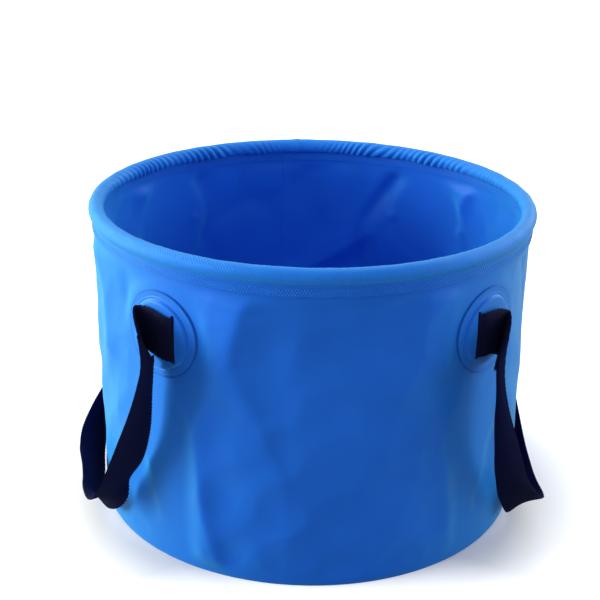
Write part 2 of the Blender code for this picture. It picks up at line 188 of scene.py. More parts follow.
SLIT_HEIGHT = WEBBING_WIDTH + 2 * SLIT_END_GAP

# Where each strap goes between its two slits: degrees round from the front, stand-off of the webbing's
# middle from the wall in mm, height above the middle of the patches in mm, then how the webbing's upper
# edge points: degrees away from straight up, and, once it is away, degrees from straight outwards
# towards the back. Near the slits, and at the left strap's lowest bend, the webbing lies a few mm away
# from its plain solid, where the real one folds over itself.
LEFT_ROUTE = (
    (41, 4.9, 0.8, 0, 0),
    (44.6, 4.8, 3, 0, 0),
    (46.7, 4.9, 3, 0, 0),
    (47.6, 6, 2.5, 15, 90),
    (44.6, 13.5, 2, 60, -42),
    (43.2, 14.5, -3, 68, -44),
    (40.6, 19.2, -6.5, 66, -33),
    (41.2, 19.8, -22, 80, -25),
    (42.5, 20.5, -40, 94, -15),
    (45.4, 20, -68, 103, 4),
    (50.1, 18.3, -96, 116, 18),
    (54.5, 19, -115, 68, -25),
    (57.5, 18.2, -126, 54, -24),
    (61, 17.6, -132.5, 44, -23),
    (65, 16.5, -136.5, 38, -29),
    (70, 14.2, -138, 36, -37),
    (77, 10.8, -137.5, 43, -44),
    (84, 8.8, -137, 50, -46),
    (90, 8.4, -133, 50, -50),
    (98, 7, -126, 47, -66),
    (107, 5.6, -114.5, 44, -86),
    (116.3, 5.6, -90, 46, -93),
    (125, 6.5, -59, 47, -97),
    (132.2, 6.8, -32, 40, -106),
    (137, 5.7, -14.5, 24, -114),
    (140.2, 5, -3.4, 4, -124),
)
RIGHT_ROUTE = (
    (40, 5.6, 0.4, 0, 0),
    (43, 6, 0.2, 0, 0),
    (45.8, 5.6, -2.6, 0, 0),
    (47.4, 5.4, -4.8, 14, 90),
    (43.6, 12.8, -3.5, 48, -45),
    (41.8, 15, -8.5, 52, -44),
    (38.8, 20.5, -12.3, 66, -44),
    (38.5, 23, -26, 78, -41),
    (38.8, 25.4, -41, 89, -34),
    (39.8, 27.2, -60, 91, -22),
    (43, 26.7, -89, 89, -12),
    (48.6, 22.5, -112, 74, -8),
    (53, 20, -127.5, 62, -4),
    (57, 19, -137.5, 51, -8),
    (61, 15.5, -141, 41, -9),
    (67, 10.5, -140.5, 30, -20),
    (76, 6.6, -137, 19, -42),
    (88.5, 4.6, -125, 13, -62),
    (100, 4.7, -106, 26, -78),
    (111.2, 5.3, -84, 41, -88),
    (121.6, 6.7, -56, 46, -99),
    (130, 7.6, -31, 40, -110),
    (135.6, 6.5, -13, 25, -119),
    (139.6, 5.1, -3.8, 5, -128),
)

# Soft dents of the unfilled wall: degrees round at mid height, middle height in mm, slant of the dent's
# line in degrees from upright, half length and half width in mm, and depth in mm
DENTS = (
    (8, 176, 90, 44, 26, 2.4),
    (-14, 150, 4, 50, 18, 1.6),
    (-50, 46, -24, 30, 12, 2.2),
    (4, 40, 3, 50, 26, 1.2),
    (46, 55, 24, 40, 12, 2),
    (-118, 110, 12, 60, 22, 2.4),
    (-158, 90, -10, 60, 22, 2.4),
    (150, 100, 14, 60, 20, 2.6),
    (108, 80, -8, 55, 20, 2),
    (170, 60, 30, 50, 20, 1.8),
    (-90, 70, -14, 55, 22, 1.8),
)

# Fold lines pressed in by storage: rise in mm, outwards if positive, how far it fades in mm on the side
# of the smaller angle and on the other, then the line from its top down, as degrees round and mm up
FOLDS = (
    (4.2, 26, 9, ((-18, 203), (-21, 188), (-23, 168), (-24, 150), (-20.5, 134), (-16, 112))),
    (2.8, 9, 18, ((24.5, 200), (22.5, 178), (22, 158), (17.5, 136))),
    (4.4, 26, 8, ((-34.5, 104), (-32, 66), (-30.5, 40), (-27, 4))),
    (1.6, 20, 14, ((-10.5, 78), (-9.5, 40), (-9.5, 4))),
    (1.2, 14, 16, ((13.5, 150), (14.5, 112), (14, 80))),
    (2.6, 9, 14, ((29, 92), (32, 50), (35.5, 4))),
    (2, 14, 8, ((49.5, 98), (45, 66), (41, 40), (40, 14))),
    (3, 14, 9, ((-75, 201), (-70, 180), (-66.5, 160), (-66, 134))),
    (-2.4, 14, 12, ((-56, 199), (-57.5, 176))),
    (-2.6, 15, 10, ((63.5, 199), (66, 178), (70, 158))),
    (6, 17, 6, ((149, 190), (154.5, 170), (158, 154), (159.5, 136), (160, 112))),
    (-5, 7, 17, ((157, 142), (165, 127), (175, 111), (-172, 92))),
    (-3.8, 7, 10, ((121, 199), (124, 182), (127.5, 162))),
    (2.4, 8, 8, ((175.5, 200), (178.5, 184))),
    (-2, 6, 9, ((-175, 200), (-173, 180))),
    (3.2, 15, 9, ((-148, 200), (-146.5, 182), (-146.5, 160), (-153, 126))),
    (-2.2, 14, 10, ((-124, 200), (-129, 178))),
    (2, 16, 12, ((-166, 168), (-152, 154), (-142, 130))),
    (2, 18, 9, ((-112, 180), (-108, 130), (-104, 96))),
    (2, 10, 18, ((98, 190), (101, 140), (106, 110))),
    (2.8, 16, 10, ((141, 96), (147, 56), (150, 6))),
    (2.8, 10, 14, ((-168, 74), (-160, 34), (-158, 4))),
)
FOLD_CREST = 1.3 * MM
FOLD_POWER = 1.15
CRUMPLE = 0.55 * MM

# Puckers where the wall bends at the stiff edge of a rear patch: degrees round and mm up
PUCKERS = ((124.6, 159.5), (149.3, 160), (-146.6, 161))
PUCKER_RADIUS = 3.6 * MM
PUCKER_DEPTH = 1.6 * MM

# Gentle waves: seed, how many, least and most of their cycles round the bucket, and wavelength up
CRUMPLE_WAVES = tuple((seed, 5, (5, 15), 90 * MM) for seed in (3, 4, 7))
FLOOR_WAVES = (11, 9, (1, 4), 90 * MM)
PLEAT_WAVES = (21, 9, (3, 23), 1.0)
STRENGTH_WAVES = (22, 7, (5, 41), 1.0)
GRAIN_WAVES = (31, 9, (8, 60), 9 * MM)
HEM_WAVES = (33, 8, (6, 60), 1.0)

# Welded studs: how many in a ring, the pitch of the rings and the half sizes of a stud
HEM_STUDS = 520
HEM_STUD_RINGS = 3
HEM_STUD_FOOT = 1.2 * MM
HEM_STUD_PITCH = 1.5 * MM
HEM_STUD_SIZE = (0.55 * MM, 0.16 * MM, 0.55 * MM)
PATCH_STUDS = 96
PATCH_STUD_RINGS = 2
PATCH_STUD_GAP = 1.5 * MM
PATCH_STUD_PITCH = 1.4 * MM
PATCH_STUD_SIZE = (0.5 * MM, 0.5 * MM, 0.13 * MM)
STUD_SEGMENTS = 6
STUD_ROWS = 4

# Camera, fitted to the bucket's outline
CAMERA_PLACE = Vector((-71.57, -818.07, 468.30)) * MM
CAMERA_RIGHT = Vector((0.99730, -0.07190, 0.01524))
CAMERA_UP = Vector((0.01267, 0.37240, 0.92798))
CAMERA_LENS = 74.39
CAMERA_SENSOR = 36.0

# Finishes: colours, the pairs of shares of them between which a surface is uneven, and ribs by their
# pitch and slope
COATED_BLUE = (0.0115, 0.131, 0.67)
SLEEVE_BLUE = (0.0150, 0.185, 0.74)
# Painted sheen: the lighter, greener blue that the cloth turns to at a glancing view
PAINTED_SHEEN_BLUE = (0.0300, 0.270, 0.68)
WEBBING_NAVY = (0.0034, 0.0043, 0.0300)
WEBBING_SHEEN = (0.20, 0.22, 0.60)
HOOP_WHITE = (0.72, 0.74, 0.75)
JOINER_GREY = (0.035, 0.035, 0.040)
CLOTH_TONES = (0.93, 1.07)
WEBBING_TONES = (0.75, 1.5)
PLASTIC_TONES = (0.94, 1.04)
SPECULAR_LEVEL = 0.25
WEBBING_SPECULAR_LEVEL = 0.10
GLOSS_TINT = (0.34, 0.72, 1.0)
# Painted sheen: facing shares between which the cloth turns to that lighter blue
PAINTED_SHEEN_FACING = (0.2, 0.9)
# Painted shade: the sleeve's hems take the wall's blue at this share, darker than the tube, below these
# heights
HEM_SHADE_SHARE = 0.95
HEM_TO_TUBE = (WALL_TOP - 1 * MM, WALL_TOP + 3 * MM)
# Painted shade: a dark line round each patch's edge, where the gap under it shades, as a share of its blue
# and distances in from the edge
EDGE_SHADOW_SHARE = 0.42
EDGE_SHADOW_BEGINS = (0.02 * MM, 0.06 * MM)
EDGE_SHADOW_ENDS = (0.4 * MM, 0.9 * MM)
COATING_RIBS = (1.1 * MM, 0.0)
SLEEVE_RIBS = (1.9 * MM, 0.7)
WEFT_LEAN = 0.4
WEFT_SHARE = 0.35
TWILL_PITCH = 1.15 * MM
TWILL_SLOPE = 0.8

# Studio: away from the bucket's shadow the sweep glows white, past these radii and these places in front
STUDIO_SIZE = 8.0
FLOOR_BOUNCE = (0.35, 0.35, 0.35)
FLOOR_WHITE = (0.77, 0.78, 0.80)
FLOOR_GLOW = (0.02, 0.62)
GLOW_RADII = (0.155, 0.225)
GLOW_FRONT = (-0.12, -0.16)
WORLD_LIGHT = 0.65
WORLD_TINT = (0.94, 0.97, 1.0)
WHITE = (1.0, 1.0, 1.0)
WARM = (1.0, 1.0, 0.88)
COOL = (0.95, 0.98, 1.0)
LAMP_AIM = Vector((0.0, 0.0, 0.10))
SOFTBOXES = (
    ("left_softbox", (-1.50, -0.15, 0.40), (0.8, 0.7), 26.0, WARM),
    ("left_back_softbox", (-1.20, 0.60, 0.90), (1.1, 1.1), 13.0, WARM),
    ("right_softbox", (1.50, -0.20, 0.40), (1.3, 0.9), 8.5, COOL),
    ("right_back_softbox", (1.10, 0.80, 0.90), (1.0, 1.0), 7.5, COOL),
    ("top_softbox", (0.0, 0.30, 1.60), (1.3, 1.0), 4.0, COOL),
)


# Round places and smooth steps

def place(radius, angle, height):
    """A point round the bucket's axis."""
    return Vector((radius * sin(angle), -radius * cos(angle), height))


def places(radius, angle, height):
    """The same for whole arrays."""
    radius, angle, height = np.broadcast_arrays(radius, angle, height)
    return np.stack((radius * np.sin(angle), -radius * np.cos(angle), height), axis=-1)


def outwards(angle):
    return Vector((sin(angle), -cos(angle), 0.0))


def backwards(angle):
    """The way round the wall, in which the angle grows."""
    return Vector((cos(angle), sin(angle), 0.0))


def turned_into_circle(angle):
    return (angle + pi) % (2 * pi) - pi


def smooth(low, high, value):
    """0 up to the low limit, 1 from the high one, and a soft step between them."""
    share = np.clip((value - low) / (high - low), 0.0, 1.0)
    return share * share * (3 - 2 * share)


def within(begins, ends, value):
    """1 between two soft steps, each with its own two limits, and 0 outside them."""
    return smooth(*begins, value) * (1 - smooth(*ends, value))


def slow_waves(angle, height, seed, count, cycles, wavelength):
    """Gentle waves, even all the way round, whose sum is about 1 high."""
    chance = np.random.default_rng(seed)
    total = np.zeros(np.broadcast(angle, height).shape)
    for _ in range(count):
        round_it = chance.integers(cycles[0], cycles[1])
        upright = 2 * pi / (wavelength * chance.uniform(0.7, 1.6)) * chance.choice((-1, 1))
        total = total + np.sin(round_it * angle + upright * height + chance.uniform(0, 2 * pi))
    return total / count ** 0.5


# Shape of the wall

def taper(height):
    """The wall's outer radius, drawn in a little towards the welded foot."""
    share = np.clip(1 - height / FOOT_TAPER_HEIGHT, 0.0, 1.0)
    return WALL_RADIUS - (WALL_RADIUS - FOOT_RADIUS) * share * share


def dent(angle, height, around, middle, slant, half_length, half_width, depth):
    along_wall = turned_into_circle(angle - radians(around)) * WALL_RADIUS
    up = height - middle * MM
    across = along_wall * cos(radians(slant)) - up * sin(radians(slant))
    along = along_wall * sin(radians(slant)) + up * cos(radians(slant))
    fall = (across / (half_width * MM)) ** 2 + (along / (half_length * MM)) ** 4
    return -depth * MM * np.exp(-fall)


def fold(angle, height, rise, left, right, line):
    """Height of one fold line: a soft crest with its own width on each side."""
    start = radians(line[0][0])
    across = turned_into_circle(angle - start) * WALL_RADIUS
    points = [(turned_into_circle(radians(a) - start) * WALL_RADIUS, h * MM) for a, h in line]
    nearest = np.full(across.shape, np.inf)
    offset = np.zeros(across.shape)
    for (x0, y0), (x1, y1) in zip(points, points[1:]):
        dx, dy = x1 - x0, y1 - y0
        reach = hypot(dx, dy)
        share = np.clip(((across - x0) * dx + (height - y0) * dy) / reach ** 2, 0.0, 1.0)
        distance = np.hypot(across - x0 - share * dx, height - y0 - share * dy)
        beside = (dx * (height - y0) - dy * (across - x0)) / reach
        closer = distance < nearest
        nearest = np.where(closer, distance, nearest)
        offset = np.where(closer, beside, offset)
    to_right = 0.5 + 0.5 * np.tanh(offset / (2 * FOLD_CREST))
    width = (left + (right - left) * to_right) * MM
    rounded = np.sqrt(nearest ** 2 + FOLD_CREST ** 2) - FOLD_CREST
    return rise * MM * np.exp(-(rounded / width) ** FOLD_POWER)


def from_patches(angle):
    """How far round it is to the middle of the nearest patch, in radians."""
    return np.minimum(*(np.abs(np.abs(angle) - centre) for centre in (PATCH_ANGLE, pi - PATCH_ANGLE)))


def clear_of_patches(angle, height):
    """0 under the patches, growing to 1 a little outside them."""
    distance = np.hypot(from_patches(angle) * WALL_RADIUS, height - PATCH_HEIGHT)
    return smooth(*RELIEF_NEAR_PATCH, distance)


def clear_when_folded(angle):
    """0 in the columns of the pockets, whose webbing meets the rest of the wall when it is folded down."""
    return smooth(*RELIEF_NEAR_POCKET, from_patches(angle))


def crumple(angle, height):
    """Flat facets that meet in faint creases, as in coated cloth that has been folded away."""
    return sum(0.5 - np.abs(slow_waves(angle, height, *waves)) for waves in CRUMPLE_WAVES)


def wall_relief(angle, height):
    """How far the soft wall stands out of its plain round shape, in metres."""
    total = CRUMPLE * crumple(angle, height)
    for sizes in DENTS:
        total = total + dent(angle, height, *sizes)
    for sizes in FOLDS:
        total = total + fold(angle, height, *sizes)
    total = total * clear_of_patches(angle, height)
    total = np.where(total > 0, total * clear_when_folded(angle), total)
    for around, up in PUCKERS:
        away = np.hypot(turned_into_circle(angle - radians(around)) * WALL_RADIUS, height - up * MM)
        total = total - PUCKER_DEPTH * np.exp(-(away / PUCKER_RADIUS) ** 2)
    return total * within(RELIEF_GROWS, RELIEF_FADES, height)


def seam_place(angle):
    """How far round from the middle of the wall's seam, in metres."""
    return turned_into_circle(angle - SEAM_ANGLE) * WALL_RADIUS


def seam_band(angle):
    """1 on the lapped seam and 0 beside it."""
    return 1 - smooth(SEAM_WIDTH / 2, SEAM_WIDTH / 2 + SHEET / 2, np.abs(seam_place(angle)))


def seam_outside(angle):
    """The lapped and welded seam as it shows outside: a low band with a groove at its edge."""
    groove = np.exp(-((seam_place(angle) - SEAM_WIDTH / 2 - SHEET) / SHEET) ** 2)
    return SEAM_RISE * seam_band(angle) - SEAM_GROOVE * groove


def seam_inside(angle):
    """The second sheet of the seam, which steps towards the axis."""
    return SEAM_INNER_STEP * seam_band(angle)


def column_angles(count):
    """Even steps round the bucket, with more of them at the two edges of the seam."""
    even = np.linspace(-pi, pi, count, endpoint=False)
    fine = SHEET / 2 / WALL_RADIUS
    edges = []
    for side in (-1, 1):
        edge = SEAM_ANGLE + side * (SEAM_WIDTH / 2 + SHEET / 4) / WALL_RADIUS
        edges += [edge - fine, edge - fine / 2, edge, edge + fine / 2, edge + fine]
    edges = turned_into_circle(np.array(edges))
    kept = [a for a in even if np.abs(turned_into_circle(edges - a)).min() > fine / 2]
    return np.sort(np.concatenate((kept, edges)))


# Objects and meshes

def new_object(name, data):
    made = bpy.data.objects.new(name, data)
    bpy.context.scene.collection.objects.link(made)
    return made


def finished(name, mesh, sharp_angle=radians(50)):
    mesh.shade_smooth()
    mesh.set_sharp_from_angle(angle=sharp_angle)
    return new_object(name, mesh)


def mesh_of(name, shape):
    """A new mesh of what has been put together, which is freed."""
    mesh = bpy.data.meshes.new(name)
    shape.to_mesh(mesh)
    shape.free()
    return mesh


def face_outwards(mesh):
    shape = bmesh.new()
    shape.from_mesh(mesh)
    bmesh.ops.recalc_face_normals(shape, faces=shape.faces)
    if shape.calc_volume(signed=True) < 0:
        bmesh.ops.reverse_faces(shape, faces=shape.faces)
    shape.to_mesh(mesh)
    shape.free()
    return mesh


def surface_mesh(name, points, along, across, poles=()):
    """A closed surface through a ring of rows of points, with a UV map in metres.

    along and across are the distances of the points on the surface. Each row closes on itself, unless
    there are two poles, single points that close the rings of first and last points.
    """
    rows, columns = points.shape[:2]
    beside = np.arange(columns - 1 if poles else columns)
    i, j = (grid.ravel() for grid in np.meshgrid(np.arange(rows), beside, indexing="ij"))
    i2, j2 = (i + 1) % rows, (j + 1) % columns
    corners = np.stack((i * columns + j, i * columns + j2, i2 * columns + j2, i2 * columns + j), axis=1)
    vertices = points.reshape(-1, 3).tolist()
    faces = corners.tolist()
    for pole, column in zip(poles, (0, columns - 1)):
        top = len(vertices)
        vertices.append(pole)
        faces += [[top, a * columns + column, (a + 1) % rows * columns + column] for a in range(rows)]
    mesh = bpy.data.meshes.new(name)
    mesh.from_pydata(vertices, [], faces)
    wide = np.where(i2 == 0, along[-1] + (along[1] - along[0]), along[i2])
    far = np.where(j2 == 0, across[-1] + (across[1] - across[0]), across[j2])
    loop_uv = np.stack((np.stack((along[i], across[j]), 1), np.stack((along[i], far), 1),
                        np.stack((wide, far), 1), np.stack((wide, across[j]), 1)), axis=1).reshape(-1, 2)
    values = np.zeros((len(mesh.loops), 2))
    values[:len(loop_uv)] = loop_uv
    mesh.uv_layers.new(name="surface").data.foreach_set("uv", values.ravel())
    return face_outwards(mesh)


def run_length(path):
    """Distance along a row of points, from its first one."""
    steps = np.linalg.norm(np.diff(path, axis=0), axis=1)
    return np.concatenate(([0.0], np.cumsum(steps)))


def there_and_back(one_face, other_face):
    """Rows of points over one face of a sheet and back over the other."""
    return np.concatenate((one_face, other_face[:, ::-1]), axis=1)


# Pieces of coated fabric

def build_wall():
    """A tube of sheet with soft dents, fold lines and a lapped seam at the back."""
    angles = column_angles(WALL_COLUMNS)[:, None]
    rise = np.linspace(0.0, 1.0, WALL_ROWS)
    heights = FOOT_ROUNDING + (WALL_TOP - FOOT_ROUNDING) * rise
    heights = np.concatenate(([0.0], heights))[None, :]
    foot_turn = FOOT_ROUNDING / 2 * (1 - smooth(0.0, FOOT_ROUNDING, heights))
    outer = taper(heights) + wall_relief(angles, heights) - foot_turn
    inner = outer - SHEET - seam_inside(angles)
    outer = outer + seam_outside(angles) * (1 - smooth(*SEAM_FADES, heights))
    points = there_and_back(places(outer, angles, heights), places(inner, angles, heights))
    across = np.concatenate((heights[0], 2 * WALL_TOP - heights[0, ::-1]))
    return finished("wall_fabric", surface_mesh("wall_fabric", points, angles[:, 0] * WALL_RADIUS, across))


def floor_section(reach):
    """Radii and heights round the floor's sheet: out under it, up outside the flange, and back over it."""
    corner = FLOOR_CORNER
    rings = FLOOR_RINGS * (reach - corner)
    turns = FLOOR_CORNER_TURNS
    bend = [(reach - corner * (1 - sin(t)), corner * (1 - cos(t))) for t in turns]
    wider, higher = taper(FLANGE_HEIGHT) - FOOT_RADIUS, FLANGE_HEIGHT - corner
    flange = [(reach + share * wider, corner + share * higher) for share in FLANGE_SHARES]
    over = [(r - SHEET, z) for r, z in flange[::-1]]
    over += [(r - SHEET * sin(t), z + SHEET * cos(t)) for (r, z), t in zip(bend[::-1], turns[::-1])]
    return np.array([(r, 0.0) for r in rings] + bend + flange + over + [(r, SHEET) for r in rings[::-1]])


def build_floor():
    """A disc with soft waves, whose edge turns up as a flange inside the foot of the wall."""
    angles = column_angles(FLOOR_COLUMNS)[:, None]
    reach = FOOT_RADIUS - SHEET - CLEARANCE
    section = floor_section(reach)
    radius, height = section.T[:, None, :]
    inwards = 1 - smooth(*FLOOR_WAVES_END, radius / reach)
    waves = 0.5 + 0.5 * slow_waves(angles * 3, radius, *FLOOR_WAVES)
    lift = FLOOR_WAVE_RISE * np.clip(waves, 0.0, 2.0) * inwards
    seam = seam_inside(angles) * smooth(*FLOOR_SEAM_BEGINS, radius / reach)
    points = places(radius - seam, angles, height + lift)
    centre_lift = float(lift[:, 0].mean())
    poles = ((0.0, 0.0, centre_lift), (0.0, 0.0, centre_lift + SHEET))
    along, across = angles[:, 0] * WALL_RADIUS, run_length(section)
    return finished("floor_fabric", surface_mesh("floor_fabric", points, along, across, poles))


def sleeve_section():
    """Middle of the sleeve's sheet: up the outer hem, round the hoop, down the inner hem.

    Each row is a radius, a height, the direction that faces away from the hoop, and the turn round
    the hoop.
    """
    outer_hem = WALL_RADIUS + CLEARANCE + SHEET / 2
    inner_hem = WALL_RADIUS - SHEET - CLEARANCE - SHEET / 2
    start = -acos((outer_hem - HOOP_RING_RADIUS) / SLEEVE_TUBE_RADIUS)
    end = 2 * pi - acos((inner_hem - HOOP_RING_RADIUS) / SLEEVE_TUBE_RADIUS)
    rows = [(outer_hem, HEM_FOOT + share * HEM_GRIP, 1.0, 0.0, start) for share in HEM_SHARES]
    for i in range(SLEEVE_STEPS + 1):
        turn = start + (end - start) * i / SLEEVE_STEPS
        radius = HOOP_RING_RADIUS + SLEEVE_TUBE_RADIUS * cos(turn)
        rows.append((radius, HOOP_HEIGHT + SLEEVE_TUBE_RADIUS * sin(turn), cos(turn), sin(turn), turn))
    rows += [(inner_hem, HEM_FOOT + share * HEM_GRIP, -1.0, 0.0, end) for share in HEM_SHARES[::-1]]
    return np.array(rows)


def pleats(angle, turn):
    """Gathers of the sleeve where it is too long for the inner side of the hoop."""
    waver = PLEAT_WAVER * slow_waves(angle, 0.0, *PLEAT_WAVES)
    down = (turn - pi / 2) * SLEEVE_TUBE_RADIUS
    phase = (np.abs(angle) * HOOP_RING_RADIUS - PLEAT_SLANT * down) / PLEAT_PITCH + waver
    ridge = np.abs(np.sin(pi * phase)) ** PLEAT_ROUNDNESS
    strength = PLEAT_STRENGTH + PLEAT_SPREAD * slow_waves(angle, 0.0, *STRENGTH_WAVES)
    from_front = np.abs(np.degrees(angle))
    gathered = PLEATS_ALL_ROUND
    for side, share, middle, width in PLEATS_BEHIND:
        behind = share * np.exp(-((from_front - middle) / width) ** 4)
        gathered = gathered + np.where(side * angle > 0, behind, 0.0)
    gathered = gathered + PLEATS_IN_FRONT * np.exp(-(from_front / PLEATS_FRONT_WIDTH) ** 2)
    depth = PLEAT_DEPTH * np.clip(strength, PLEAT_LEAST, 1.0) * gathered
    return depth * within(PLEATS_BEGIN, PLEATS_END, turn) * (ridge - PLEAT_BALANCE)


def sleeve_joint(angle):
    """The sleeve's own lap at the back: a step that fades away on one side."""
    away = turned_into_circle(angle - SLEEVE_JOINT_ANGLE) * HOOP_RING_RADIUS
    return SLEEVE_JOINT_STEP * within((0.0, SLEEVE_JOINT_EDGE), SLEEVE_JOINT_FADE, away)


def build_sleeve():
    """The strip round the hoop, whose two hems take the wall's top edge between them."""
    angles = column_angles(SLEEVE_COLUMNS)[:, None]
    radius, height, out, up, turn = (row[None, :] for row in sleeve_section().T)
    inner_hem = (turn > INNER_HEM_TURN) & (out < -0.5)
    grain = SLEEVE_GRAIN_RISE * slow_waves(angles, height, *GRAIN_WAVES)
    swell = pleats(angles, turn) + within(TUBE_BEGINS, TUBE_ENDS, turn) * (sleeve_joint(angles) + grain)
    hem_wave = HEM_WAVE_RISE * slow_waves(angles, 0.0, *HEM_WAVES)
    hem_wave = hem_wave * smooth(HEM_FOOT + HEM_WAVE_FADE, HEM_FOOT, height)
    radius = radius - np.where(inner_hem, seam_inside(angles), 0.0)
    sheets = []
    for side in (SHEET / 2, -SHEET / 2):
        offset = side + np.maximum(swell, -CLEARANCE / 2)
        sheets.append(places(radius + offset * out, angles, height + offset * up + hem_wave))
    points = there_and_back(*sheets)
    one_way = run_length(sheets[0][0])
    across = np.concatenate((one_way, 2 * one_way[-1] + SHEET - one_way[::-1]))
    mesh = surface_mesh("sleeve_fabric", points, angles[:, 0] * HOOP_RING_RADIUS, across)
    return finished("sleeve_fabric", mesh, radians(60))


# Patches

def patch_rise(radius):
    """How far the patch's sheet stands off the wall: a crowned pocket, a flat welded ring and a bead."""
    pocket = 1 - smooth(POCKET_RADIUS, POCKET_RADIUS + POCKET_STEP, radius)
    crown = POCKET_CROWN * (1 - np.clip(radius / POCKET_RADIUS, 0.0, 1.0) ** 2)
    bead = WELD_BEAD_RISE * np.exp(-((radius - WELD_BEAD_RADIUS) / WELD_BEAD_WIDTH) ** 2)
    return CLEARANCE + pocket * (POCKET_RISE + crown) + bead


def flat_patch():
    """The patch laid flat, with its pocket raised: x along the wall, y up, z away from the wall.

    Its UV map's Y is 0 at the top of its outer edge and grows towards the middle of its face.
    """
    inside = np.linspace(PATCH_FIRST_RING, POCKET_RADIUS, PATCH_POCKET_RINGS + 1)[:-1]
    outside = np.linspace(POCKET_RADIUS, PATCH_RADIUS - PATCH_EDGE, PATCH_OUTER_RINGS)
    sheet = np.concatenate((inside, outside))
    under, over = patch_rise(sheet), patch_rise(sheet) + SHEET
    radius = np.concatenate((sheet, [PATCH_RADIUS, PATCH_RADIUS], sheet[::-1]))[None, :]
    height = np.concatenate((under, [CLEARANCE, CLEARANCE + SHEET - PATCH_EDGE], over[::-1]))[None, :]
    turns = np.linspace(0.0, 2 * pi, PATCH_SIDES, endpoint=False)[:, None]
    points = np.stack(np.broadcast_arrays(radius * np.cos(turns), radius * np.sin(turns), height), axis=-1)
    middle = CLEARANCE + POCKET_RISE + POCKET_CROWN
    poles = ((0.0, 0.0, middle), (0.0, 0.0, middle + SHEET))
    across = run_length(np.stack((radius[0], height[0]), axis=1))
    across = across - across[len(sheet) + 1]
    return surface_mesh("flat_patch", points, turns[:, 0] * POCKET_RADIUS, across, poles)


def slit_cutter():
    shape = bmesh.new()
    bmesh.ops.create_cube(shape, size=1.0)
    for corner in shape.verts:
        corner.co.x = -SLIT_SETBACK - SLIT_WIDTH / 2 + corner.co.x * SLIT_WIDTH
        corner.co.y *= SLIT_HEIGHT
        corner.co.z *= 4 * (POCKET_RISE + SHEET + POCKET_CROWN)
    return mesh_of("slit_cutter", shape)


def evaluated_mesh(made):
    """The object's mesh with its modifiers applied; the object itself goes."""
    shown = made.evaluated_get(bpy.context.evaluated_depsgraph_get())
    mesh = bpy.data.meshes.new_from_object(shown)
    bpy.data.objects.remove(made, do_unlink=True)
    return mesh


def cut_patch():
    """The flat patch with its slit cut through, as a mesh."""
    patch = finished("flat_patch", flat_patch())
    cutter = finished("slit_cutter", slit_cutter())
    cut = patch.modifiers.new("slit", "BOOLEAN")
    cut.operation = "DIFFERENCE"
    cut.solver = "EXACT"
    cut.object = cutter
    mesh = evaluated_mesh(patch)
    bpy.data.objects.remove(cutter, do_unlink=True)
    return mesh


def build_patch(name, flat, studs, side, rear):
    """Wrap the flat patch and its weld pattern on the wall, with the slit away from the strap's loop."""
    shape = bmesh.new()
    shape.from_mesh(flat)
    shape.from_mesh(studs)
    for point in shape.verts:
        angle = PATCH_ANGLE + point.co.x / WALL_RADIUS
        if rear:
            angle = pi - angle
        point.co = place(WALL_RADIUS + point.co.z, side * angle, PATCH_HEIGHT + point.co.y)
    if side * (-1 if rear else 1) < 0:
        bmesh.ops.reverse_faces(shape, faces=shape.faces)
    return finished(name, mesh_of(name, shape), radians(40))


# Nodes

def feed(socket, value):
    """Link a node's socket to another socket, or set its value."""
    if isinstance(value, bpy.types.NodeSocket):
        socket.id_data.links.new(value, socket)
    else:
        socket.default_value = value


def feed_all(node, fed):
    """Link or set inputs of a node, by their names or numbers."""
    for key, value in dict(fed).items():
        feed(node.inputs[key], value)


def add_node(tree, kind, fed=(), **settings):
    """A new node with its settings and with what feeds its inputs."""
    node = tree.nodes.new(kind)
    for name, value in settings.items():
        setattr(node, name, value)
    feed_all(node, fed)
    return node


def math_node(tree, operation, *values):
    """The result of a math node that sockets or numbers feed."""
    return add_node(tree, "ShaderNodeMath", enumerate(values), operation=operation).outputs[0]


def new_group(name, kind, inputs, outputs):
    """A node group with named inputs and outputs: its tree, what it is given and what it gives."""
    tree = bpy.data.node_groups.new(name, kind)
    for label, of_kind, value in inputs:
        socket = tree.interface.new_socket(label, in_out="INPUT", socket_type="NodeSocket" + of_kind)
        if value is not None:
            socket.default_value = value
    for label, of_kind in outputs:
        tree.interface.new_socket(label, in_out="OUTPUT", socket_type="NodeSocket" + of_kind)
    return tree, tree.nodes.new("NodeGroupInput").outputs, tree.nodes.new("NodeGroupOutput").inputs


# Weld patterns, by Geometry Nodes

